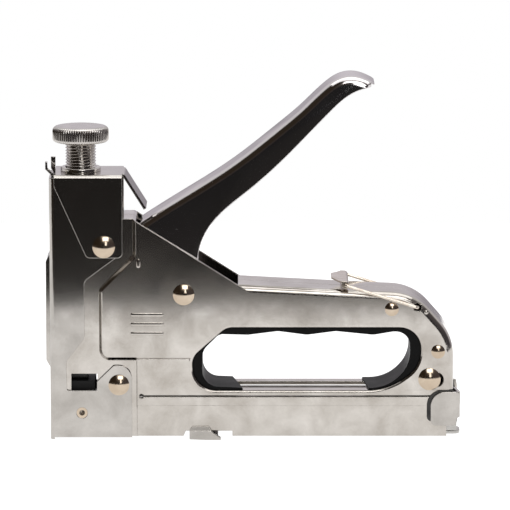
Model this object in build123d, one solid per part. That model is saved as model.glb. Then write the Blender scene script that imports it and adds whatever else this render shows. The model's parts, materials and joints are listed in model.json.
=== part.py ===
from build123d import *
import os

# Staple gun in millimetres. X runs from the nose (-X) to the magazine's rear (+X), Z is up and
# Y = 0 is the plane between the two pressed shells. The origin is under the middle, on the work face.

# ---- driving dimensions -------------------------------------------------------------------
SHEET = 1.1  # pressed steel of the shells, housing and cap
GAP = 0.05  # radial clearance of a pin in its hole
PANEL_Y = 13.5  # outer face of the raised side panels and the grip
WALL_Y = 13.0  # outer face of the lower bar
FOOT_Y = 12.7  # outer face of the lower bar under its bend
FRONT_Y = 11.8  # outer face of the recessed front of the shells
HOUSING_Y = 12.95  # outer face of the nose housing
CAP_Y = 14.1  # outer face of the nose cap
BEND_Z = 14.5  # bend line of the lower bar
BAR_TOP = 21.1  # top of the lower bar, the bottom of the finger loop
BODY_FRONT, BODY_BACK = -84.6, 84.3
CAP_TOP = 113.0

HANDLE_PIVOT = (-29.4, 62.2)
HANDLE_Y, CHEEK = 12.0, 1.7  # handle channel: outer half width and cheek thickness
WEB = 1.6  # handle channel: thickness of its top
FORK_Y = 8.8  # inner face of the handle's fork arms
FORK_TIP = (-53.4, 56.8, 3.0)  # centre and radius of the lifting tip of the fork

CAP_RIVET = (-62.9, 82.6)
FRONT_RIVET = (-56.8, 23.4)
NOSE_RIVET = (-72.4, 11.4)
REAR_RIVETS = ((58.2, 56.0), (77.8, 37.8))
REAR_PIN = (74.2, 26.0)
REAR_SLOT = (77.05, 25.8)  # round opening behind the rear pin's head
BAIL_PIVOT = (69.1, 56.8)
CLIP_PIVOT = (38.6, 66.3)

AXIS_X = -72.8  # axis of the plunger, main spring and adjuster
SCREW_R, KNOB_R, COLLAR_R = 6.45, 11.85, 8.5
COLLAR_TOP, KNOB_LOW, KNOB_TOP = 114.8, 125.3, 132.0
SEAT_LOW, SEAT_TOP = 106.0, 109.0
PLUNGER_TOP, PLUNGER_LOW = 72.0, 24.8
SPRING_SPIGOT = 2.0  # height of the plunger's and the seat's spigots inside the main spring
LUG_LOW, LUG_HIGH = 60.0, 65.0  # lug under which the handle's fork lifts the plunger
BLADE = (-83.75, -82.75)  # driver blade, front and back face

CHANNEL_TOP = 18.4  # fixed channel that guides the staples' legs
RAIL_Y, RAIL_LOW, RAIL_TOP = 4.9, 2.0, 14.5
ROD_Z, ROD_R = 8.5, 1.2
LINER = 0.55  # dark sleeve inside the slide's end piece
WIRE_R = 0.7  # bail wire
BAIL_Y = 14.8
BAIL_HOLE = 1.75  # loose round hole in which the bail's end turns


# ---- helpers ------------------------------------------------------------------------------
def outline(*corners):
    """A face in the XZ plane through (x, z) or (x, z, corner radius) points."""
    points = [corner[:2] for corner in corners]
    radii = [corner[2] if len(corner) > 2 else 0 for corner in corners]
    return Plane.XZ * make_face(FilletPolyline(*points, radius=radii, close=True))


def slab(face, low, high):
    """The face's prism from y = low to y = high."""
    return extrude(Pos(0, low, 0) * face, amount=high - low, dir=(0, 1, 0))


def pair(face, inner, outer):
    """Two mirrored prisms, one on each side of Y = 0."""
    return slab(face, inner, outer) + slab(face, -outer, -inner)


def block(x0, x1, z0, z1, half_y):
    """A box about Y = 0."""
    return Pos((x0 + x1) / 2, 0, (z0 + z1) / 2) * Box(x1 - x0, 2 * half_y, z1 - z0)


def grow(face, distance):
    """The XZ face, larger or smaller by the distance all round."""
    return Plane.XZ * offset(Plane.XZ.to_local_coords(face), distance)


def bar(place, radius, y0, y1):
    """A round bar along Y through place = (x, z)."""
    return Pos(place[0], (y0 + y1) / 2, place[1]) * Rot(90, 0, 0) * Cylinder(radius, y1 - y0)


def post(radius, z0, z1, x=AXIS_X):
    """A round bar along Z."""
    return Pos(x, 0, (z0 + z1) / 2) * Cylinder(radius, z1 - z0)


def dome(place, base_y, radius, height, side):
    """A rivet's round head standing on the face y = side * base_y."""
    rim = 0.35
    ball = (radius**2 + (height - rim) ** 2) / (2 * (height - rim))
    head = Cylinder(radius, height, align=(Align.CENTER, Align.CENTER, Align.MIN))
    head &= Pos(0, 0, height - ball) * Sphere(ball)
    return Pos(place[0], side * base_y, place[1]) * Rot(-90 * side, 0, 0) * head


def rivet(place, shank, face_y, radius, height):
    """A pin through both sides with a round head at each end."""
    pin = bar(place, shank, -face_y, face_y)
    return pin + dome(place, face_y, radius, height, 1) + dome(place, face_y, radius, height, -1)


def round_along_x(solid, radius, z_low, half_y):
    """Rounds the long edges at y = +-half_y that lie above z_low."""
    edges = [
        edge
        for edge in solid.edges()
        if abs(abs(edge.center().Y) - half_y) < 0.01
        and edge.bounding_box().size.Y < 0.01
        and edge.center().Z > z_low
    ]
    return fillet(edges, radius)


def save(solid, name):
    export_step(solid, f"parts/{name}.step")


# ---- shells: two mirrored pressings -------------------------------------------------------
LOOP_TOP = 47.9
RIM = 1.5  # width of the rolled rim round the finger loop
LOOP = (
    (-11.4, LOOP_TOP, 7),
    (-25.8, 35.2, 7),
    (-25.2, BAR_TOP, 10),
    (57.0, BAR_TOP, 27),
    (70.5, 31.5, 13),
    (70.5, LOOP_TOP, 9),
)
GRIP_BACK = (
    (BODY_BACK, 43.9, 22),
    (67.8, 62.6, 22),
    (40.5, 63.8, 60),
    (-6.6, 66.3),
)
GRIP_INSIDE = (
    (BODY_BACK - SHEET, 43.5, 20.9),
    (67.3, 61.5, 20.9),
    (40.5, 62.7, 60),
    (-6.6, 65.2),
)


def shell_blank():
    """Both shells as one solid block, before they are hollowed."""
    panel = outline(
        (-65.0, 33.9, 4.5),
        (-20.0, 33.9),
        (-20.0, BAR_TOP + 0.2),
        (BODY_BACK, BAR_TOP + 0.2),
        *GRIP_BACK,
        (-50.7, 94.2),
        (-50.7, 78.6, 1.5),
        (-65.0, 64.3, 3),
    )
    body = slab(panel, -PANEL_Y, PANEL_Y)
    grip_edges = [
        edge
        for edge in body.edges()
        if abs(abs(edge.center().Y) - PANEL_Y) < 0.01
        and edge.bounding_box().size.Y < 0.01
        and edge.center().X > -1
        and edge.center().Z > 22
    ]
    body = fillet(grip_edges, 2.8)
    flank_edges = [
        edge
        for edge in body.edges()
        if abs(abs(edge.center().Y) - PANEL_Y) < 0.01
        and edge.bounding_box().size.Y < 0.01
        and edge.center().X < -40
        and edge.bounding_box().max.X < -19.9
        and not (edge.bounding_box().max.X > -10 or edge.center().Z > 90)
    ]
    body = chamfer(flank_edges, 1.3)
    front = outline(
        (BODY_FRONT + 0.4, 1.2),
        (-48.5, 1.2),
        (-48.5, 94.2),
        (-56.0, 94.2),
        (-56.0, 110.8),
        (BODY_FRONT + 0.4, 110.8),
    )
    front_zone = slab(front, -FRONT_Y, FRONT_Y)
    open_corner = outline((-48.4, 97), (-48.4, 92.75), (-50.7, 94.2), (-50.7, 97))
    front_zone -= slab(open_corner, -20, 20)
    wall = slab(
        outline((-49.1, 1.45), (81.5, 1.45), (81.5, 34.5), (-49.1, 34.5)), -WALL_Y, WALL_Y
    )
    foot = outline((-60, -1), (90, -1), (90, BEND_Z), (-60, BEND_Z))
    wall -= pair(foot, FOOT_Y, 20)
    return body + front_zone + wall


def shell_cavity():
    """The room inside the shells; open at the front, the bottom and the handle's slot."""
    upper = outline(
        (-63.0, 35.8, 3),
        (-21.0, 35.8),
        (-21.0, 18.0),
        (BODY_BACK - SHEET, 18.0),
        *GRIP_INSIDE,
        (-6.6, 110),
        (-49.4, 110),
        (-49.4, 78.0),
        (-63.0, 63.6),
    )
    room = slab(upper, -PANEL_Y + SHEET, PANEL_Y - SHEET)
    room += block(-90, -49, -5, 93.1, FRONT_Y - 1.0)
    room += block(-90, -57.0, 90, 115, FRONT_Y - 1.0)
    room += block(-49.2, 90, BEND_Z - 1, 34.4, WALL_Y - SHEET) - block(-20, 90, 20, 40, 20)
    room += block(-49.2, 90, -5, BEND_Z, FOOT_Y - SHEET)
    return room


def make_shell():
    """Both shells, still joined at Y = 0."""
    shell = shell_blank() - shell_cavity()
    loop = outline(*LOOP)
    rim_face = grow(loop, RIM)
    shell -= slab(rim_face, -20, 20)
    rim = slab(rim_face, 7.0, PANEL_Y) - slab(loop, 0, 20)
    mouth_line = Pos(0, PANEL_Y, 0) * loop.face().outer_wire()
    mouth = [edge for edge in rim.edges() if mouth_line.distance_to(edge @ 0.5) < 0.01]
    rim = fillet(mouth, 1.0)
    shell += rim + mirror(rim, about=Plane.XZ)
    slit = block(-47.3, 76.4, 18.15, 18.95, 20) + bar((-47.3, 18.55), 1.0, -20, 20)
    notch = outline((-31.0, -2), (-8.9, -2), (-8.9, 3.7), (-28.6, 3.7))
    window = block(-76.9, -65.8, 20.9, 28.0, 20)
    lance = block(-61.3, -49.4, 33.9, 35.3, 20)
    shell -= slit + slab(notch, -20, 20) + window + lance
    for place, radius in (
        (HANDLE_PIVOT, 2.5),
        (CAP_RIVET, 2.5),
        (FRONT_RIVET, 2.0),
        (NOSE_RIVET, 2.3),
        (REAR_RIVETS[0], 1.4),
        (REAR_RIVETS[1], 1.4),
        (REAR_PIN, 2.5),
        (REAR_SLOT, 3.15),
    ):
        shell -= bar(place, radius + GAP, -20, 20)
    bail_hole = bar(BAIL_PIVOT, BAIL_HOLE, PANEL_Y - SHEET - 0.3, PANEL_Y + 1)
    return shell - bail_hole - mirror(bail_hole, about=Plane.XZ)


def split_shells(shell):
    seam = 0.03
    right = shell & Pos(0, 50 + seam, 50) * Box(300, 100, 300)
    left = shell & Pos(0, -50 - seam, 50) * Box(300, 100, 300)
    return left, right


# ---- nose --------------------------------------------------------------------------------
def make_nose_housing():
    """U-shaped front cover: a front wall with a pressed bulge, and two cheeks."""
    front_x = -85.8
    side = outline(
        (front_x, 0.9),
        (-51.3, 0.9),
        (-51.3, 31.7, 5.6),
        (-59.1, 31.7, 1.5),
        (-66.0, 24.9),
        (-66.0, 20.9),
        (-78.7, 20.9, 0.8),
        (-79.0, 33.4, 4),
        (-71.2, 43.4, 4),
        (-71.2, 67.7, 3.5),
        (-56.5, 78.7),
        (-56.5, 111.5),
        (front_x, 111.5),
    )
    body = slab(side, -HOUSING_Y, HOUSING_Y)
    body += block(front_x, BODY_FRONT + 0.6, 0, 1.0, HOUSING_Y)
    corners = [
        edge
        for edge in body.edges()
        if abs(edge.center().X - front_x) < 0.01
        and abs(abs(edge.center().Y) - HOUSING_Y) < 0.01
        and edge.length > 20
    ]
    body = fillet(corners, 2.0)
    body -= block(front_x + SHEET, 0, -5, 120, HOUSING_Y - SHEET)
    bulge = outline((front_x + 0.2, 79.3), (-87.53, 75.4), (-87.53, 33.5), (front_x + 0.2, 29.9))
    body += slab(bulge, -9.0, 9.0)
    hollow = outline((-84.0, 77.6), (-86.4, 74.8), (-86.4, 34.1), (-84.0, 31.6))
    body -= slab(hollow, -7.8, 7.8)
    for place, radius in ((CAP_RIVET, 2.5), (FRONT_RIVET, 2.0), (NOSE_RIVET, 2.3)):
        body -= bar(place, radius + GAP, -20, 20)
    return body


def make_hooks():
    """Two ears at the top of the nose's front wall: one bent forward, one upright and twisted."""
    strip = block(-84.65, -83.75, 96, 112.0 - SHEET - 0.2, 9.0)
    bent = outline(
        (-84.65, 111.7),
        (-84.65, 110.5),
        (-83.75, 110.5),
        (-83.9, 112.6),
        (-86.6, 114.8, 0.6),
        (-86.7, 117.6),
        (-87.5, 117.6),
        (-87.5, 114.5, 0.6),
    )
    upright = outline(
        (-84.65, 110.5),
        (-83.75, 110.5),
        (-83.7, 118.0),
        (-85.6, 118.0),
        (-85.6, 113.0),
        (-84.65, 111.7),
    )
    return strip + slab(bent, -7.3, -4.7) + slab(upright, 5.5, 6.5)


def make_nose_cap():
    """Inverted U over the nose, with a bent flap behind it."""
    side = outline(
        (-83.7, CAP_TOP),
        (-83.7, 108.2, 3),
        (-70.1, 77.8, 2),
        (-55.1, 77.8, 2),
        (-55.1, CAP_TOP),
    )
    body = slab(side, -CAP_Y, CAP_Y)
    body = round_along_x(body, 1.6, CAP_TOP - 0.01, CAP_Y)
    body -= block(-90, -50, 60, CAP_TOP - SHEET, CAP_Y - SHEET)
    flap = outline(
        (-55.6, CAP_TOP - SHEET),
        (-55.6, CAP_TOP),
        (-54.3, CAP_TOP, 1.5),
        (-45.1, 98.3),
        (-46.1, 97.7),
        (-54.9, CAP_TOP - SHEET),
    )
    body += slab(flap, -9.5, 9.5)
    body -= post(SCREW_R + 0.3, 105, 120)
    slot = block(-86, -83.6, 110, 120, 9.0)
    body -= slot
    return body - bar(CAP_RIVET, 2.5 + GAP, -20, 20)


def make_collar():
    """Nut of the adjuster, clinched into the cap."""
    ring = post(COLLAR_R, CAP_TOP, COLLAR_TOP)
    ring = fillet(ring.edges().group_by(Axis.Z)[-1], 0.7)
    ring += post(SCREW_R + 0.28, CAP_TOP - SHEET, CAP_TOP)
    return ring - post(SCREW_R + 0.08, 100, 120)


def make_driver_guide():
    """Bush plate in which the driver blade runs, inside the foot of the nose."""
    plate = block(-84.68, -82.45, 1.0, 24.0, 10.0)
    plate -= block(BLADE[0] - 0.08, -80, 0, 30, 5.6)
    return plate


# ---- striking gear ------------------------------------------------------------------------
def make_plunger():
    """Hammer body with the lug that the handle's fork lifts."""
    head = block(-82.7, -68.6, 56, PLUNGER_TOP, 7.6)
    stem = block(-82.7, -74.0, PLUNGER_LOW, 56, 4.5)
    stem += block(-81.0, -70.0, PLUNGER_LOW, 28.5, 4.5)
    arm = block(-68.7, -57.0, LUG_LOW, LUG_HIGH, 5.0)
    cross = block(-57.8, -50.6, LUG_LOW, LUG_HIGH, 10.1)
    spigot = post(4.6, PLUNGER_TOP - 1, PLUNGER_TOP + SPRING_SPIGOT)
    return head + stem + arm + cross + spigot


def make_driver_blade():
    return block(BLADE[0], BLADE[1], 2.0, 76.0, 5.5)


def coil(radius, wire, height, turns, low):
    """A helical spring standing on z = low."""
    path = Helix(height / turns, height, radius)
    profile = Plane(origin=path @ 0, z_dir=path % 0) * Circle(wire)
    return Pos(AXIS_X, 0, low) * sweep(profile, path, is_frenet=True)


def make_main_spring():
    wire = 0.9
    low = PLUNGER_TOP + wire + 0.05
    return coil(6.1, wire, SEAT_LOW - wire - 0.05 - low, 6, low)


def make_spring_seat():
    return post(8.6, SEAT_LOW, SEAT_TOP) + post(4.6, SEAT_LOW - SPRING_SPIGOT, SEAT_LOW)


def make_adjuster_screw():
    screw = post(SCREW_R, SEAT_TOP + 0.02, KNOB_LOW)
    return chamfer(screw.edges().group_by(Axis.Z)[0], 0.6)


def make_adjuster_knob():
    knob = post(KNOB_R, KNOB_LOW, KNOB_TOP)
    knob = fillet(knob.edges().group_by(Axis.Z)[0], 1.5)
    return fillet(knob.edges().group_by(Axis.Z)[-1], 2.0)


# ---- handle -------------------------------------------------------------------------------
def handle_side():
    """Side view of the channel: its top line, rolled tail, neck and hub."""
    top = Spline(
        (-49.4, 90.9),
        (-32.7, 101.7),
        (-8.5, 117.2),
        (9.7, 131.5),
        (20.0, 140.2),
        (30.0, 149.6),
        (36.0, 153.4),
        (41.6, 154.3),
        (46.1, 153.3),
        (50.8, 150.9),
    )
    tail = Line((50.8, 150.9), (49.6, 149.7))
    lower = Spline(
        (49.6, 149.7),
        (38.6, 145.4),
        (33.0, 140.4),
        (20.4, 127.3),
        (-2.1, 106.2),
        (-16.6, 93.3),
        (-21.5, 85.2),
        (-23.4, 76.5),
        (-20.8, 64.0),
    )
    back = Polyline((-20.8, 64.0), (-29.4, 58.0), (-37.0, 60.5), (-49.4, 82.0), (-49.4, 90.9))
    return make_face([top, tail, lower, *back.edges()])


def make_handle():
    side = Plane.XZ * handle_side()
    hub = Plane.XZ * (Pos(*HANDLE_PIVOT) * Circle(8.0))
    body = slab(side, -HANDLE_Y, HANDLE_Y)
    top_edges = [
        edge
        for edge in body.edges()
        if abs(abs(edge.center().Y) - HANDLE_Y) < 0.01
        and edge.bounding_box().size.Y < 0.01
        and edge.bounding_box().max.Z > 153.5
        and edge.bounding_box().min.X < -49
    ]
    body = fillet(top_edges, 3.4)
    body += slab(hub, -HANDLE_Y, HANDLE_Y)
    plan = Pos(0, 0, 50) * extrude(
        Rectangle(160, 2 * HANDLE_Y + 2, align=(Align.MAX, Align.CENTER)), 150
    )
    tail_corners = plan.edges().filter_by(Axis.Z).group_by(Axis.X)[-1]
    plan = Pos(51.5, 0, 0) * fillet(tail_corners, 8.5)
    body &= plan
    inner_y = HANDLE_Y - CHEEK
    room = Pos(0.6 * WEB, 0, -0.8 * WEB) * slab(side, -inner_y, inner_y)
    room += slab(hub, -inner_y, inner_y) + block(-52, -47, 60, 90, inner_y)
    body -= room
    tip_x, tip_z, tip_r = FORK_TIP
    arm = outline(
        (-30.0, 54.6),
        (tip_x + 1, tip_z - tip_r),
        (tip_x - 1, tip_z + 1),
        (tip_x + 2.5, tip_z + 0.6),
        (-38.0, 60.0),
        (-30.0, 66.0),
    )
    arm = slab(arm, FORK_Y, inner_y + 0.1)
    arm += slab(hub, FORK_Y, inner_y + 0.1) + bar((tip_x, tip_z), tip_r, FORK_Y, inner_y + 0.1)
    body += arm + mirror(arm, about=Plane.XZ)
    return body - bar(HANDLE_PIVOT, 2.5 + GAP, -20, 20)


def make_return_spring():
    """Torsion spring on the handle's pin."""
    wire, radius, length = 0.7, 3.9, 9.0
    path = Helix(length / 6, length, radius)
    profile = Plane(origin=path @ 0, z_dir=path % 0) * Circle(wire)
    spring = Pos(0, 0, -length / 2) * sweep(profile, path, is_frenet=True)
    return Pos(HANDLE_PIVOT[0], 0, HANDLE_PIVOT[1]) * Rot(90, 0, 0) * spring


# ---- grip and bumper ----------------------------------------------------------------------
def make_grip_insert():
    """Rubber lining of the finger loop: finger waves above, a thin lip on the lower bar."""
    lip = BAR_TOP + 0.9
    opening = outline(
        (-14.4, 45.1, 4),
        (-21.6, 38.0, 7),
        (-21.6, lip + 0.7, 7),
        (-3.0, lip, 3),
        (-3.0, 10.0),
        (45.9, 10.0),
        (45.9, lip - 0.1, 1),
        (56.6, lip, 17),
        (66.1, 31.8, 14),
        (65.9, 46.2, 6),
        (58.8, 46.2, 4),
        (50.5, 44.8, 9),
        (34.6, 46.4, 9),
        (22.5, 44.8, 9),
        (10.3, 46.4, 9),
        (-2.3, 44.8, 9),
    )
    lining = slab(grow(outline(*LOOP), -GAP), -12.3, 12.3) - slab(opening, -20, 20)
    ends = Polyline((-8.9, 12.4), (-4.5, -12.4), (48.6, -12.4), (46.3, 12.4), close=True)
    return lining - extrude(make_face(ends), lip + 1.6)


# ---- magazine -----------------------------------------------------------------------------
def make_magazine_channel():
    """Fixed channel: a top plate between the shells and two walls beside the staples."""
    top = block(-49.0, 80.0, CHANNEL_TOP - 1.0, CHANNEL_TOP, FOOT_Y - SHEET - GAP)
    top += block(-82.3, -49.0, CHANNEL_TOP - 1.0, CHANNEL_TOP, FRONT_Y - 1.0 - GAP)
    wall = outline((-82.3, 1.4), (80.0, 1.4), (80.0, CHANNEL_TOP - 0.5), (-82.3, CHANNEL_TOP - 0.5))
    channel = top + pair(wall, 6.0, 7.0)
    gate = outline((-31, 0), (-8, 0), (-8, 3.0), (-31, 3.0))
    return channel - slab(gate, -20, 20)


def make_staple_rail():
    """Open U that carries the staples."""
    rail = block(-82.2, 86.1, RAIL_LOW, RAIL_TOP, RAIL_Y)
    return rail - block(-90, 84.6, RAIL_LOW + 1, 20, RAIL_Y - 1.0)


def make_slide_cap():
    """Rear end piece of the slide, a U around the lower bar with a flared pull on one side."""
    inner = WALL_Y + 0.15 + LINER + 0.05
    outer = inner + SHEET
    cheek = outline(
        (74.8, 6.3, 2.3),
        (85.6, 6.3, 1.5),
        (85.9, 9.5),
        (87.2, 9.9),
        (87.2, 16.5),
        (86.6, 20.7, 0.8),
        (74.8, 20.7, 6),
    )
    body = slab(cheek, -outer, outer)
    back = Rectangle(40, 2 * outer, align=(Align.MAX, Align.CENTER))
    back = fillet(back.vertices().group_by(Axis.X)[-1], 2.0)
    body &= Pos(87.2, 0, 0) * extrude(back, 40)
    body -= block(70, 86.1, 0, 30, inner)
    body -= block(86.0, 90, 16.5, 30, inner)
    pull = Polyline((86.1, -inner - 0.2), (87.2, -inner - 0.2), (85.6, -3.5), (84.5, -3.5), close=True)
    return body + Pos(0, 0, 15.5) * extrude(make_face(pull), 5.2)


def make_slide_liner():
    """Dark sleeve between the slide's end piece and the lower bar."""
    inner = WALL_Y + 0.15
    top = BAR_TOP + 0.1
    side = outline((73.2, 7.9, 2), (86.05, 7.9), (86.05, 15.4), (84.4, 15.4), (84.4, top), (73.2, top, 6.5))
    sleeve = slab(side, -inner - LINER, inner + LINER)
    sleeve -= block(70, 84.4, 0, 30, inner)
    return sleeve - block(84.0, 90, 0, RAIL_TOP + 0.2, RAIL_Y + 1.0)


def make_slide_tongue():
    plate = Rectangle(12, 11, align=(Align.MAX, Align.CENTER))
    plate = fillet(plate.vertices().group_by(Axis.X)[-1], 3.0)
    return Pos(87.53, 0, RAIL_LOW - 1.1) * extrude(plate, 1.1)


def make_guide_rod():
    """Straight rod from the slide's end piece to the pusher's stop."""
    x0, x1 = -77.5, 84.5
    return Pos((x0 + x1) / 2, 0, ROD_Z) * Rot(0, 90, 0) * Cylinder(ROD_R, x1 - x0)


def make_pusher():
    """Saddle over the rail that pushes the staples forward."""
    x0, x1 = -81.9, -70.0
    body = block(x0, x1, 5.0, 16.2, 5.7) - block(x0 - 1, x1 + 1, 0, RAIL_TOP + 0.2, RAIL_Y + 0.15)
    body += block(x0 + 1, x1, ROD_Z - 3, RAIL_TOP + 0.5, 2.6)
    return body - Pos(x0, 0, ROD_Z) * Rot(0, 90, 0) * Cylinder(ROD_R + 0.08, 60)


def make_pusher_spring():
    """Room of the long pusher spring, as a tube around its rod."""
    x0, x1 = -69.8, 84.4
    tube = Cylinder(3.1, x1 - x0) - Cylinder(1.9, x1 - x0)
    return Pos((x0 + x1) / 2, 0, ROD_Z) * Rot(0, 90, 0) * tube


def make_release_catch():
    """Sprung catch under the bar with a finger tab on each side."""
    inner = FOOT_Y + 0.2
    tab = outline(
        (-27.0, 0.3, 0.3),
        (-20.0, 0.0, 5),
        (-13.8, 0.0, 0.3),
        (-13.8, 1.0, 0.5),
        (-17.2, 3.1, 4),
        (-18.9, 5.7, 0.8),
        (-25.6, 6.0, 0.6),
        (-27.0, 3.9, 0.5),
    )
    tabs = pair(tab, inner, inner + 1.6)
    slope = outline((-40, 3.8), (0, 3.8), (0, 9), (-40, 9))
    for side in (1, -1):
        tilt = Pos(0, side * (inner + 1.6), 3.8) * Rot(side * 40, 0, 0) * Pos(0, 0, -3.8)
        tabs -= tilt * slab(slope, min(0, side * 4), max(0, side * 4))
    return tabs + block(-26.0, -15.0, 0.0, 1.2, inner + 0.4)


# ---- bail latch ---------------------------------------------------------------------------
def make_bail():
    """Wire bail: two legs, a cross bar through the clip and two ends in the shells."""
    run_x, run_z = CLIP_PIVOT[0] - BAIL_PIVOT[0], CLIP_PIVOT[1] - BAIL_PIVOT[1]
    ends = []
    for y in (-BAIL_Y, BAIL_Y):
        pivot_end = (BAIL_PIVOT[0], y, BAIL_PIVOT[1])
        bar_end = (BAIL_PIVOT[0] + run_x, y, BAIL_PIVOT[1] + run_z)
        ends.append((pivot_end, bar_end))
    (near_pivot, near_bar), (far_pivot, far_bar) = ends
    tips = [(BAIL_PIVOT[0], y, BAIL_PIVOT[1]) for y in (-12.0, 12.0)]
    path = FilletPolyline(tips[0], near_pivot, near_bar, far_bar, far_pivot, tips[1], radius=1.0)
    return sweep(Plane(origin=path @ 0, z_dir=path % 0) * Circle(WIRE_R), path)


def make_clip():
    """Finger tab rolled round the bail's cross bar, rounded to a tip in plan."""
    barrel_r, half_y = 1.55, 13.8
    side = outline(
        (CLIP_PIVOT[0], CLIP_PIVOT[1] + barrel_r - 0.8),
        (CLIP_PIVOT[0], CLIP_PIVOT[1] + barrel_r),
        (35.6, 67.9, 4),
        (32.7, 68.3),
        (32.5, 67.6),
        (35.4, 67.1, 4),
    )
    plan = make_face(
        Polyline(
            (41, half_y), (37, half_y), (32.7, 5), (32.7, -5), (37, -half_y), (41, -half_y), close=True
        )
    )
    plan = fillet(plan.vertices().group_by(Axis.X)[0], 4)
    tab = slab(side, -half_y, half_y) & Pos(0, 0, 50) * extrude(plan, 40)
    body = bar(CLIP_PIVOT, barrel_r, -half_y, half_y) + tab
    return body - bar(CLIP_PIVOT, WIRE_R + GAP, -20, 20)


# ---- fasteners ----------------------------------------------------------------------------
def make_rear_rivets():
    first, second = (rivet(place, 1.4, PANEL_Y, 2.9, 1.3) for place in REAR_RIVETS)
    return Compound(children=[first, second])


def make_nose_rivets():
    """Hollow rivets that hold the nose's foot, one on each side."""
    tubes = []
    for side in (1, -1):
        y0, y1 = sorted((side * 7.05, side * HOUSING_Y))
        tubes.append(bar(NOSE_RIVET, 2.3, y0, y1) - bar(NOSE_RIVET, 1.2, y0 - 1, y1 + 1))
    return Compound(children=tubes)


def main():
    os.makedirs("parts", exist_ok=True)
    left, right = split_shells(make_shell())
    save(left, "shell_left")
    save(right, "shell_right")
    save(make_nose_housing(), "nose_housing")
    save(make_hooks(), "nose_hook_plate")
    save(make_nose_cap(), "nose_cap")
    save(make_collar(), "adjuster_collar")
    save(make_driver_guide(), "driver_guide")
    save(block(-79.0, -67.0, CHANNEL_TOP, PLUNGER_LOW - 0.3, 9.5), "bumper")
    save(make_grip_insert(), "grip_insert")
    save(make_magazine_channel(), "magazine_channel")
    save(rivet(CAP_RIVET, 2.5, CAP_Y, 4.7, 1.7), "cap_rivet")
    save(rivet(HANDLE_PIVOT, 2.5, PANEL_Y, 4.5, 1.7), "handle_pivot_pin")
    save(rivet(FRONT_RIVET, 2.0, HOUSING_Y, 4.4, 1.7), "front_rivet")
    save(rivet(REAR_PIN, 2.5, PANEL_Y, 4.7, 1.7), "rear_pin")
    save(make_rear_rivets(), "rear_rivets")
    save(make_nose_rivets(), "nose_rivets")
    save(make_return_spring(), "handle_return_spring")
    save(make_handle(), "handle_lever")
    save(make_plunger(), "plunger")
    save(make_driver_blade(), "driver_blade")
    save(make_main_spring(), "main_spring")
    save(make_spring_seat(), "spring_seat")
    save(make_adjuster_screw(), "adjuster_screw")
    save(make_adjuster_knob(), "adjuster_knob")
    save(make_bail(), "bail_wire")
    save(make_clip(), "bail_clip")
    save(make_staple_rail(), "staple_rail")
    save(make_slide_cap(), "slide_cap")
    save(make_slide_liner(), "slide_cap_liner")
    save(make_slide_tongue(), "slide_tongue")
    save(make_guide_rod(), "guide_rod")
    save(make_pusher(), "pusher")
    save(make_pusher_spring(), "pusher_spring")
    save(make_release_catch(), "release_catch")


main()
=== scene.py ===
import json
import math

import bmesh
import bpy
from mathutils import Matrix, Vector

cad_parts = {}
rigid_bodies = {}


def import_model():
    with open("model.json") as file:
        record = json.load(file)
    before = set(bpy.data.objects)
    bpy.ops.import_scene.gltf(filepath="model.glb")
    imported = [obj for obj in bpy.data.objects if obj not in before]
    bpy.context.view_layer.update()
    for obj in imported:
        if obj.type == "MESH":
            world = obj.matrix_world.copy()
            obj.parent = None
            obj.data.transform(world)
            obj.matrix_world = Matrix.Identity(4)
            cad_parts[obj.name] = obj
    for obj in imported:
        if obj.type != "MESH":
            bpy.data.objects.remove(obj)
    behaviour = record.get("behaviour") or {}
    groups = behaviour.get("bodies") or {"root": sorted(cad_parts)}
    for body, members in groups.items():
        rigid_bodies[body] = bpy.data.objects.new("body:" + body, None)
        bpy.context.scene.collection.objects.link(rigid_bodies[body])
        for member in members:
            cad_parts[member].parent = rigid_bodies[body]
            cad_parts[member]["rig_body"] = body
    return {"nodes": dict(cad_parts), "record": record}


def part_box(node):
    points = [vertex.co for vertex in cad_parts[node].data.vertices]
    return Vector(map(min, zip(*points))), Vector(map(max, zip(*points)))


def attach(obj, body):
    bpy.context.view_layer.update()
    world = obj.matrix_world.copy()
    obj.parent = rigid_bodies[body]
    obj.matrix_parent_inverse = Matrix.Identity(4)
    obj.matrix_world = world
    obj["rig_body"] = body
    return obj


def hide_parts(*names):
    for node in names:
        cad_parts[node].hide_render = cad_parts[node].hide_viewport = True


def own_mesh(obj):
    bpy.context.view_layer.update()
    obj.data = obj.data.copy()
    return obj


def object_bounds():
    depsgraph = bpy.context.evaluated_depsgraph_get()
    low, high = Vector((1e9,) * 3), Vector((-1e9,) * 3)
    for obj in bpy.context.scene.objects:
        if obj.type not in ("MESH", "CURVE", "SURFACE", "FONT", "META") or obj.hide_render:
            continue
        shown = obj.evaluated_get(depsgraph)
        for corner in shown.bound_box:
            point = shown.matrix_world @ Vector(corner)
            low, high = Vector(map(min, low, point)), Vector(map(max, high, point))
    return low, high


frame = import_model()
cad_box = [list(corner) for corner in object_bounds()]
record = frame["record"]
nodes = frame["nodes"]

MM = 0.001
SLOTS = {part["node"]: part["material_slot"] for part in record["subparts"]}


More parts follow.
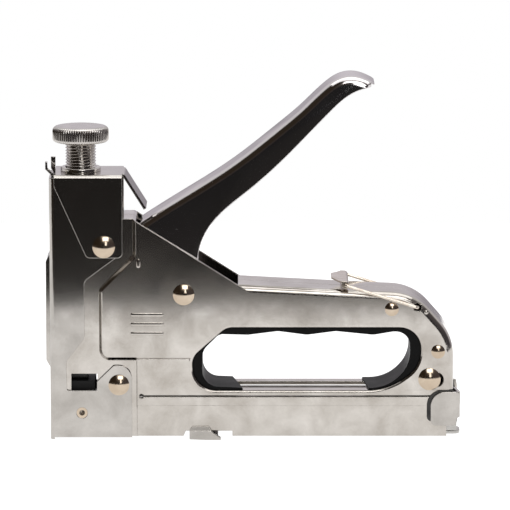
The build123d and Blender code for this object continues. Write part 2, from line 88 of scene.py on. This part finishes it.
# ---- node trees and procedural materials -----------------------------------------------------
class Nodes:
    """A node tree and short ways to build it."""

    def __init__(self, tree):
        self.tree = tree

    def node(self, kind, **sockets):
        made = self.tree.nodes.new("ShaderNode" + kind)
        for socket, value in sockets.items():
            made.inputs[socket.replace("_", " ")].default_value = value
        return made

    def link(self, source, socket):
        self.tree.links.new(source, socket)

    def ramp(self, source, *stops):
        """Stops are (position, value or colour)."""
        made = self.node("ValToRGB")
        elements = made.color_ramp.elements
        while len(elements) < len(stops):
            elements.new(0.5)
        for element, (position, value) in zip(elements, stops):
            element.position = position
            element.color = (*value, 1) if isinstance(value, tuple) else (value, value, value, 1)
        self.link(source, made.inputs["Fac"])
        return made.outputs["Color"]

    def mix(self, factor, first, second, blend="MIX"):
        """The factor is a number or a socket."""
        made = self.node("Mix")
        made.data_type = "RGBA"
        made.blend_type = blend
        if isinstance(factor, float):
            made.inputs["Factor"].default_value = factor
        else:
            self.link(factor, made.inputs["Factor"])
        self.link(first, made.inputs[6])
        self.link(second, made.inputs[7])
        return made.outputs[2]


class Shader(Nodes):
    """A node material: a principled shader and short ways to drive it."""

    def __init__(self, name, colour, roughness, metallic=0.0, **sockets):
        self.material = bpy.data.materials.new(name)
        self.material.use_nodes = True
        super().__init__(self.material.node_tree)
        self.bsdf = next(n for n in self.tree.nodes if n.type == "BSDF_PRINCIPLED")
        self.bsdf.inputs["Base Color"].default_value = (*colour, 1)
        self.bsdf.inputs["Roughness"].default_value = roughness
        self.bsdf.inputs["Metallic"].default_value = metallic
        for socket, value in sockets.items():
            self.bsdf.inputs[socket.replace("_", " ")].default_value = value
        self.space = self.tree.nodes.new("ShaderNodeTexCoord").outputs["Object"]
        self.relief = None

    def noise(self, scale, detail=3.0, stretch=(1, 1, 1), distortion=0.0):
        """Noise with about `scale` features per metre."""
        mapping = self.node("Mapping", Scale=stretch)
        self.link(self.space, mapping.inputs["Vector"])
        made = self.node("TexNoise", Scale=scale, Detail=detail, Distortion=distortion)
        self.link(mapping.outputs["Vector"], made.inputs["Vector"])
        return made.outputs["Fac"]

    def soften_edges(self, radius):
        """Catches light along sharp edges as if they were rounded by `radius` metres."""
        made = self.node("Bevel", Radius=radius)
        made.samples = 6
        self.relief = made.outputs["Normal"]

    def colour(self, source):
        self.link(source, self.bsdf.inputs["Base Color"])

    def roughness(self, source):
        self.link(source, self.bsdf.inputs["Roughness"])

    def bump(self, source, distance, strength=1.0):
        """Adds a relief of about `distance` metres; later calls lie on earlier ones."""
        made = self.node("Bump", Distance=distance, Strength=strength)
        self.link(source, made.inputs["Height"])
        if self.relief is not None:
            self.link(self.relief, made.inputs["Normal"])
        self.relief = made.outputs["Normal"]
        self.link(self.relief, self.bsdf.inputs["Normal"])


def plated_steel(name, dark, light, smooth, rough, cloud=70.0, relief=0.004, edge=0.3, wave=0.0):
    """Plated steel, cloudy in colour and gloss; `relief`, `edge` and `wave` are in millimetres."""
    made = Shader(name, light, rough, metallic=1.0)
    if edge:
        made.soften_edges(edge * MM)
    patches = made.noise(cloud, detail=5.0, distortion=0.4)
    speckle = made.noise(cloud * 14, detail=2.0)
    both = made.mix(0.22, made.ramp(patches, (0.3, 0.0), (0.72, 1.0)), speckle)
    made.colour(made.ramp(both, (0.1, dark), (0.9, light)))
    made.roughness(made.ramp(both, (0.0, rough), (1.0, smooth)))
    if wave:
        made.bump(made.noise(28.0, detail=1.5), wave * MM)
    made.bump(made.noise(cloud * 2.2, detail=2.0), relief * MM)
    return made


def handle_chrome():
    """Polished chrome with a few rubbed spots that catch light; its gloss replaces the plain one."""
    dark, light = (0.56, 0.53, 0.52), (0.64, 0.61, 0.61)
    made = plated_steel("chrome_handle", dark, light, 0.05, 0.09, cloud=40.0, relief=0.003, wave=0.06)
    spots = made.ramp(made.noise(420.0, detail=6.0, stretch=(1, 1, 0.6)), (0.73, 0.0), (0.79, 1.0))
    gloss = made.ramp(made.noise(40.0, detail=5.0), (0.3, 0.05), (0.7, 0.09))
    made.roughness(made.mix(0.4, gloss, spots, "ADD"))
    return made


def black_rubber(name, level, grain):
    """Matt black rubber; `grain` is in millimetres."""
    made = Shader(name, (level, level, level), 0.45, Specular_IOR_Level=0.09)
    made.soften_edges(0.5 * MM)
    wear = made.noise(120.0, detail=4.0)
    made.colour(made.ramp(wear, (0.3, (level * 0.7,) * 3), (0.8, (level * 1.4,) * 3)))
    made.roughness(made.ramp(wear, (0.2, 0.40), (0.9, 0.55)))
    made.bump(made.noise(2600.0, detail=4.0), grain * MM, 0.5)
    return made


MATERIALS = {
    "pressed_steel": plated_steel(
        "pressed_steel", (0.38, 0.35, 0.315), (0.57, 0.54, 0.505), 0.09, 0.15, edge=0.4, wave=0.10
    ),
    "bright_steel": plated_steel(
        "bright_steel", (0.35, 0.33, 0.305), (0.50, 0.475, 0.447), 0.07, 0.12, edge=0.4, wave=0.08
    ),
    "chrome_handle": handle_chrome(),
    "rivet_steel": plated_steel(
        "rivet_steel", (0.46, 0.37, 0.28), (0.55, 0.46, 0.36), 0.11, 0.17, cloud=200.0, relief=0.002, edge=0
    ),
    "nickel_screw": plated_steel(
        "nickel_screw", (0.42, 0.40, 0.38), (0.56, 0.53, 0.50), 0.10, 0.17, cloud=250.0, relief=0.002, edge=0
    ),
    "wire_steel": plated_steel(
        "wire_steel", (0.46, 0.39, 0.32), (0.68, 0.62, 0.55), 0.10, 0.18, cloud=220.0, relief=0.002, edge=0.15
    ),
    "dark_steel": plated_steel(
        "dark_steel", (0.03, 0.03, 0.03), (0.09, 0.088, 0.085), 0.35, 0.5, cloud=120.0
    ),
    "spring_steel": plated_steel(
        "spring_steel", (0.20, 0.19, 0.18), (0.38, 0.36, 0.34), 0.25, 0.4, cloud=300.0, edge=0
    ),
    "rail_steel": plated_steel("rail_steel", (0.42, 0.41, 0.39), (0.60, 0.58, 0.55), 0.25, 0.4, cloud=110.0),
    "grip_rubber": black_rubber("grip_rubber", 0.005, 0.03),
    "bumper_rubber": black_rubber("bumper_rubber", 0.02, 0.04),
}


# ---- pieces -------------------------------------------------------------------------------
def new_piece(name, corners, faces):
    """An object from corners in metres and faces; its faces all look outwards."""
    mesh = bpy.data.meshes.new(name)
    mesh.from_pydata(corners, [], faces)
    work = bmesh.new()
    work.from_mesh(mesh)
    bmesh.ops.remove_doubles(work, verts=work.verts, dist=0.002 * MM)
    bmesh.ops.recalc_face_normals(work, faces=work.faces)
    for face in work.faces:
        face.smooth = True
    work.to_mesh(mesh)
    work.free()
    piece = bpy.data.objects.new(name, mesh)
    bpy.context.scene.collection.objects.link(piece)
    return piece


def fit_piece(piece, slot, body, *stood_for):
    """Gives a piece its material and the body it rides on."""
    piece.data.materials.append(MATERIALS[slot].material)
    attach(piece, body)
    if stood_for:
        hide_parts(*stood_for)
    return piece


def copy_of(node, name):
    """The CAD node's mesh as a new object of joined faces."""
    source = nodes[node].data
    corners = [corner.co.copy() for corner in source.vertices]
    return new_piece(name, corners, [tuple(face.vertices) for face in source.polygons])


def round_edges(node, width):
    """Stands a copy with rounded edges, `width` in millimetres, in the node's place."""
    flat, sharp = math.radians(0.05), math.radians(32)
    piece = copy_of(node, node + "_rounded")
    work = bmesh.new()
    work.from_mesh(piece.data)
    bmesh.ops.dissolve_limit(work, angle_limit=flat, verts=work.verts, edges=work.edges)
    work.to_mesh(piece.data)
    work.free()
    rounding = piece.modifiers.new("rounding", "BEVEL")
    rounding.width = width * MM
    rounding.segments = 2
    rounding.limit_method = "ANGLE"
    rounding.angle_limit = sharp
    rounding.use_clamp_overlap = False
    rounding.harden_normals = True
    fit_piece(piece, SLOTS[node], nodes[node]["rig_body"], node)


def ring_faces(first, count, around):
    """Four-sided faces between `count` rings of `around` corners each, from corner `first` on."""
    faces = []
    for ring in range(count - 1):
        start = first + ring * around
        for step in range(around):
            after = (step + 1) % around
            faces.append((start + step, start + after, start + around + after, start + around + step))
    return faces


def lathe(name, rows, turns, crease):
    """A closed turned piece; each row is a function from an angle to a corner."""
    corners = [row(2 * math.pi * step / turns) for row in rows for step in range(turns)]
    last = (len(rows) - 1) * turns
    faces = ring_faces(0, len(rows), turns)
    faces.append(tuple(reversed(range(turns))))
    faces.append(tuple(range(last, last + turns)))
    piece = new_piece(name, corners, faces)
    piece.data.set_sharp_from_angle(angle=math.radians(crease))
    return piece


def upright(node):
    """Centre in X and Y, radius, bottom and top of a round node that stands on Z."""
    low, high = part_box(node)
    return (low.x + high.x) / 2, (low.y + high.y) / 2, (high.x - low.x) / 2, low.z, high.z


def make_knurled_knob():
    """The adjuster's knob: straight knurling on its rim, plain rounded shoulders."""
    ribs, steps_per_rib, depth = 72, 8, 0.34 * MM
    lower, upper, steps = 1.5 * MM, 2.0 * MM, 4
    dished = 0.05 * MM
    centre_x, centre_y, radius, bottom, top = upright("adjuster_knob")

    profile = [(0.35 * radius, bottom, 0.0)]
    for step in range(steps + 1):
        angle = math.pi / 2 * step / steps
        inset, rise = lower * (1 - math.sin(angle)), lower * (1 - math.cos(angle))
        profile.append((radius - inset, bottom + rise, step / steps))
    for step in range(steps + 1):
        angle = math.pi / 2 * step / steps
        inset, drop = upper * (1 - math.cos(angle)), upper * (1 - math.sin(angle))
        profile.append((radius - inset, top - drop, 1 - step / steps))
    profile.append((0.80 * radius, top, 0.0))
    profile.append((0.30 * radius, top - dished, 0.0))

    def row(reach, height, share):
        def corner(angle):
            across = reach - depth * share * abs(math.sin(ribs * angle / 2))
            return (centre_x + across * math.cos(angle), centre_y + across * math.sin(angle), height)

        return corner

    rows = [row(*point) for point in profile]
    piece = lathe("knurled_knob", rows, ribs * steps_per_rib, crease=50)
    fit_piece(piece, "nickel_screw", "adjuster", "adjuster_knob")


def make_threaded_screw():
    """The adjuster's screw, with a single-start thread."""
    pitch, depth, rows_per_pitch, steps = 1.25 * MM, 0.62 * MM, 8, 96
    steepness, crest = 1.15, 0.1
    centre_x, centre_y, radius, bottom, top = upright("adjuster_screw")
    count = math.ceil((top - bottom) / pitch * rows_per_pitch)

    def row(height):
        def corner(angle):
            phase = ((height - bottom) / pitch - angle / (2 * math.pi)) % 1.0
            flank = steepness * abs(2 * phase - 1) - crest
            across = radius - depth * min(1.0, max(0.0, flank))
            return (centre_x + across * math.cos(angle), centre_y + across * math.sin(angle), height)

        return corner

    rows = [row(bottom + (top - bottom) * step / count) for step in range(count + 1)]
    piece = lathe("threaded_screw", rows, steps, crease=40)
    fit_piece(piece, "nickel_screw", "adjuster", "adjuster_screw")


def make_rivet_heads():
    """Smooth round heads on both ends of each rivet and pin."""
    big_rise, small_rise, small_radius = 1.7 * MM, 1.3 * MM, 2.9 * MM
    rim, root, tip, steps = 0.35 * MM, 0.4 * MM, 0.002 * MM, 24
    for node in ("cap_rivet", "handle_pivot_pin", "front_rivet", "rear_pin", "rear_rivets"):
        low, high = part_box(node)
        small = node == "rear_rivets"
        radius = small_radius if small else (high.x - low.x) / 2
        rise = small_rise if small else big_rise
        places = [(low.x + radius, high.z - radius)]
        if small:
            places.append((high.x - radius, low.z + radius))
        ball = (radius**2 + (rise - rim) ** 2) / (2 * (rise - rim))
        profile = [(0.45 * radius, -root), (radius, -root)]
        for step in range(steps, -1, -1):
            reach = radius * step / steps
            profile.append((max(reach, tip), math.sqrt(ball**2 - reach**2) - (ball - rise)))
        for place, (x, z) in enumerate(places, start=1):
            for side, label in ((-1, "near"), (1, "far")):

                def row(reach, height):
                    def corner(angle):
                        y = side * (high.y - rise + height)
                        return (x + reach * math.cos(angle), y, z + reach * math.sin(angle))

                    return corner

                rows = [row(*point) for point in profile]
                piece = lathe(f"{node}_head_{place}_{label}", rows, 72, crease=50)
                fit_piece(piece, "rivet_steel", "frame", node)


def tube_along(name, path, radius, sides):
    """A closed round wire along a list of points that winds about the X axis."""
    corners = []
    for place, point in enumerate(path):
        ahead = (path[min(place + 1, len(path) - 1)] - path[max(place - 1, 0)]).normalized()
        across = ahead.cross(Vector((1, 0, 0))).normalized()
        beside = ahead.cross(across)
        for side in range(sides):
            angle = 2 * math.pi * side / sides
            corners.append(point + radius * (math.cos(angle) * across + math.sin(angle) * beside))
    faces = ring_faces(0, len(path), sides)
    faces.append(tuple(reversed(range(sides))))
    faces.append(tuple(range(len(corners) - sides, len(corners))))
    return new_piece(name, corners, faces)


def make_pusher_coil():
    """The pusher's spring as a coil on the guide rod; it rides on the slide."""
    wire, turns, steps = 0.25 * MM, 46, 14
    low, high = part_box("pusher_spring")
    centre_y, centre_z = (low.y + high.y) / 2, (low.z + high.z) / 2
    radius = (high.z - low.z) / 2 - wire
    start, length = low.x + wire, high.x - low.x - 2 * wire
    path = []
    for step in range(turns * steps + 1):
        angle = 2 * math.pi * step / steps
        along = start + length * step / (turns * steps)
        path.append(Vector((along, centre_y + radius * math.sin(angle), centre_z + radius * math.cos(angle))))
    piece = tube_along("pusher_coil", path, wire, sides=6)
    fit_piece(piece, "spring_steel", "slide", "pusher_spring")
    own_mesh(piece)


def make_hammer_coil():
    """The main spring in two lengths that meet at a fixed height, where neither of them moves.
    """
    lower_share = 0.62
    low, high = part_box("main_spring")
    meeting = low.z + lower_share * (high.z - low.z)
    fixed_end = ((low.x + high.x) / 2, (low.y + high.y) / 2, meeting)
    for name, joint, length, kept in (
        ("main_coil_lower", "hammer_lift", meeting - low.z, {"clear_outer": True}),
        ("main_coil_upper", "seat_travel", high.z - meeting, {"clear_inner": True}),
    ):
        piece = copy_of("main_spring", name)
        work = bmesh.new()
        work.from_mesh(piece.data)
        everything = [*work.verts, *work.edges, *work.faces]
        bmesh.ops.bisect_plane(work, geom=everything, plane_co=fixed_end, plane_no=(0, 0, 1), **kept)
        bmesh.ops.holes_fill(work, edges=work.edges, sides=0)
        work.to_mesh(piece.data)
        work.free()
        fit_piece(piece, "spring_steel", "frame", "main_spring")
        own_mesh(piece)


def bead(place, length, width, height, tilt, side, panel):
    """Rings of corners of a raised bead with round ends, in millimetres, on a side panel."""
    half, levels, sunk, steepest = 10, 5, 0.3, 85
    x, z = place
    run = (length - width) / 2
    cosine, sine = math.cos(math.radians(tilt)), math.sin(math.radians(tilt))
    rings = [(width / 2, -sunk)]
    for level in range(levels + 1):
        rise = math.radians(steepest * level / levels)
        rings.append((width / 2 * math.cos(rise), height * math.sin(rise)))
    rows = []
    for reach, level in rings:
        row = []
        for step in range(2 * half):
            angle = math.pi * (step + 0.5) / half
            along = math.copysign(run, math.cos(angle)) + reach * math.cos(angle)
            across = reach * math.sin(angle)
            east, up = along * cosine - across * sine, along * sine + across * cosine
            row.append(Vector((x + east, side * (panel + level), z + up)) * MM)
        rows.append(row)
    return rows


def make_pressings():
    """Three ribs, a short bead and a dot raised on both side panels."""
    panel = max(abs(corner.y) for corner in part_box("shell_left")) / MM
    lowest_rib, apart, proud = (-44.8, 45.5), 4.0, 0.24
    marks = [((lowest_rib[0], lowest_rib[1] + apart * rib), 14.0, 1.7, proud, 0) for rib in range(3)]
    marks.append(((-48.4, 75.5), 4.0, 1.7, proud, 90))
    marks.append(((72.7, 54.6), 1.9, 1.8, 0.35, 0))
    for side, label in ((-1, "near"), (1, "far")):
        corners, faces = [], []
        for mark in marks:
            rows = bead(*mark, side, panel)
            around, first = len(rows[0]), len(corners)
            corners += [corner for row in rows for corner in row]
            faces += ring_faces(first, len(rows), around)
            faces.append(tuple(range(first, first + around)))
            faces.append(tuple(range(len(corners) - around, len(corners))))
        fit_piece(new_piece("panel_pressings_" + label, corners, faces), "pressed_steel", "frame")


ROUNDING = {"adjuster_collar": 0.15, "bail_clip": 0.12, "handle_lever": 0.3}  # millimetres


def dress_cad_nodes():
    """Each carried-over CAD node gets the material of its slot."""
    for node, slot in SLOTS.items():
        mesh = nodes[node].data
        mesh.materials.clear()
        mesh.materials.append(MATERIALS[slot].material)


# ---- the studio ----------------------------------------------------------------------------
def make_floor():
    """Pale paper just under the object, which its plates mirror."""
    front, back, side, drop = -0.325, 0.55, 1.6, 0.2 * MM
    corners = [(-side, front), (side, front), (side, back), (-side, back)]
    mesh = bpy.data.meshes.new("floor")
    mesh.from_pydata([(x, y, -drop) for x, y in corners], [], [(0, 1, 2, 3)])
    floor = bpy.data.objects.new("floor", mesh)
    bpy.context.scene.collection.objects.link(floor)
    paper = Shader("floor_paper", (0.3, 0.3, 0.3), 0.7, Emission_Color=(1, 1, 1, 1), Emission_Strength=0.96)
    paper.colour(paper.ramp(paper.noise(7.0), (0.3, 0.29), (0.7, 0.31)))
    mesh.materials.append(paper.material)


def add_light(name, place, target, size, power):
    data = bpy.data.lights.new(name, "AREA")
    data.shape = "RECTANGLE"
    data.size, data.size_y = size
    data.energy = power
    light = bpy.data.objects.new(name, data)
    light.location = place
    light.rotation_euler = (Vector(target) - Vector(place)).to_track_quat("-Z", "Y").to_euler()
    bpy.context.scene.collection.objects.link(light)


def make_lights():
    """A large overhead, and a softbox above the camera with a strip below it, both a little to the right."""
    middle, away = (0, 0, 0.06), 1.6
    add_light("overhead", (0.0, 0.05, 0.95), middle, (1.2, 0.8), 4.5)
    for name, azimuth, elevation, size, power in (
        ("front_softbox", 8, 40, (0.85, 0.62), 5.5),
        ("front_strip", 9, 16, (0.24, 0.62), 1.3),
    ):
        turn, rise = math.radians(azimuth), math.radians(elevation)
        level = away * math.cos(rise)
        place = (level * math.sin(turn), -level * math.cos(turn), away * math.sin(rise))
        add_light(name, place, middle, size, power)


def make_world():
    """A white sweep behind the object; for reflections, a dim room in front and a pale wall behind."""
    world = bpy.data.worlds.new("studio")
    bpy.context.scene.world = world
    world.use_nodes = True
    world.node_tree.nodes.clear()
    room = Nodes(world.node_tree)
    split = room.node("SeparateXYZ")
    room.link(room.node("TexCoord").outputs["Generated"], split.inputs[0])

    def share(axis):
        """0 in the direction against the axis, 1 in the direction along it."""
        made = room.node("MapRange", From_Min=-1, From_Max=1)
        room.link(split.outputs[axis], made.inputs["Value"])
        return made.outputs["Result"]

    back = room.ramp(
        share("Z"),
        (0.40, (0.17, 0.16, 0.18)),
        (0.50, (0.42, 0.39, 0.42)),
        (0.57, (0.72, 0.68, 0.72)),
        (0.85, (0.9, 0.9, 0.9)),
    )
    front = room.ramp(
        share("Z"),
        (0.30, (0.05, 0.045, 0.04)),
        (0.50, (0.012, 0.012, 0.013)),
        (0.60, (0.045, 0.038, 0.034)),
        (0.72, (0.14, 0.12, 0.10)),
        (0.85, (0.35, 0.32, 0.30)),
        (0.95, (0.80, 0.79, 0.78)),
    )
    side_walls = room.ramp(share("X"), (0.34, 1.0), (0.43, 0.0), (0.60, 0.0), (0.72, 0.7))
    brown = room.ramp(share("X"), (0.3, (0.035, 0.026, 0.018)), (0.7, (0.10, 0.09, 0.10)))
    behind = room.ramp(share("Y"), (0.47, 0.0), (0.66, 1.0))

    mirrored = room.node("Background")
    room.link(room.mix(behind, room.mix(side_walls, front, brown), back), mirrored.inputs["Color"])
    sweep = room.node("Background", Color=(1, 1, 1, 1))
    choose = room.node("MixShader")
    room.link(room.node("LightPath").outputs["Is Camera Ray"], choose.inputs["Fac"])
    room.link(mirrored.outputs[0], choose.inputs[1])
    room.link(sweep.outputs[0], choose.inputs[2])
    room.link(choose.outputs[0], room.node("OutputWorld").inputs["Surface"])


def make_camera():
    """Square on to the side and a little above it, from far enough for hardly any perspective."""
    elevation, distance = math.radians(9.7), 2.0
    view_width, sensor = 0.2142, 36.0
    near_side = cad_box[0][1] + 2.6 * MM
    target = Vector((0.63 * MM, near_side, 79.07 * MM))
    data = bpy.data.cameras.new("camera")
    data.sensor_width = sensor
    data.lens = sensor * distance / view_width
    camera = bpy.data.objects.new("camera", data)
    camera.location = target + Vector((0, -math.cos(elevation), math.sin(elevation))) * distance
    camera.rotation_euler = (math.pi / 2 - elevation, 0, 0)
    bpy.context.scene.collection.objects.link(camera)
    bpy.context.scene.camera = camera


dress_cad_nodes()
for node, width in ROUNDING.items():
    round_edges(node, width)
make_rivet_heads()
make_knurled_knob()
make_threaded_screw()
make_pusher_coil()
make_hammer_coil()
make_pressings()
make_camera()
make_floor()
make_world()
make_lights()
bpy.context.scene.view_settings.view_transform = "Standard"
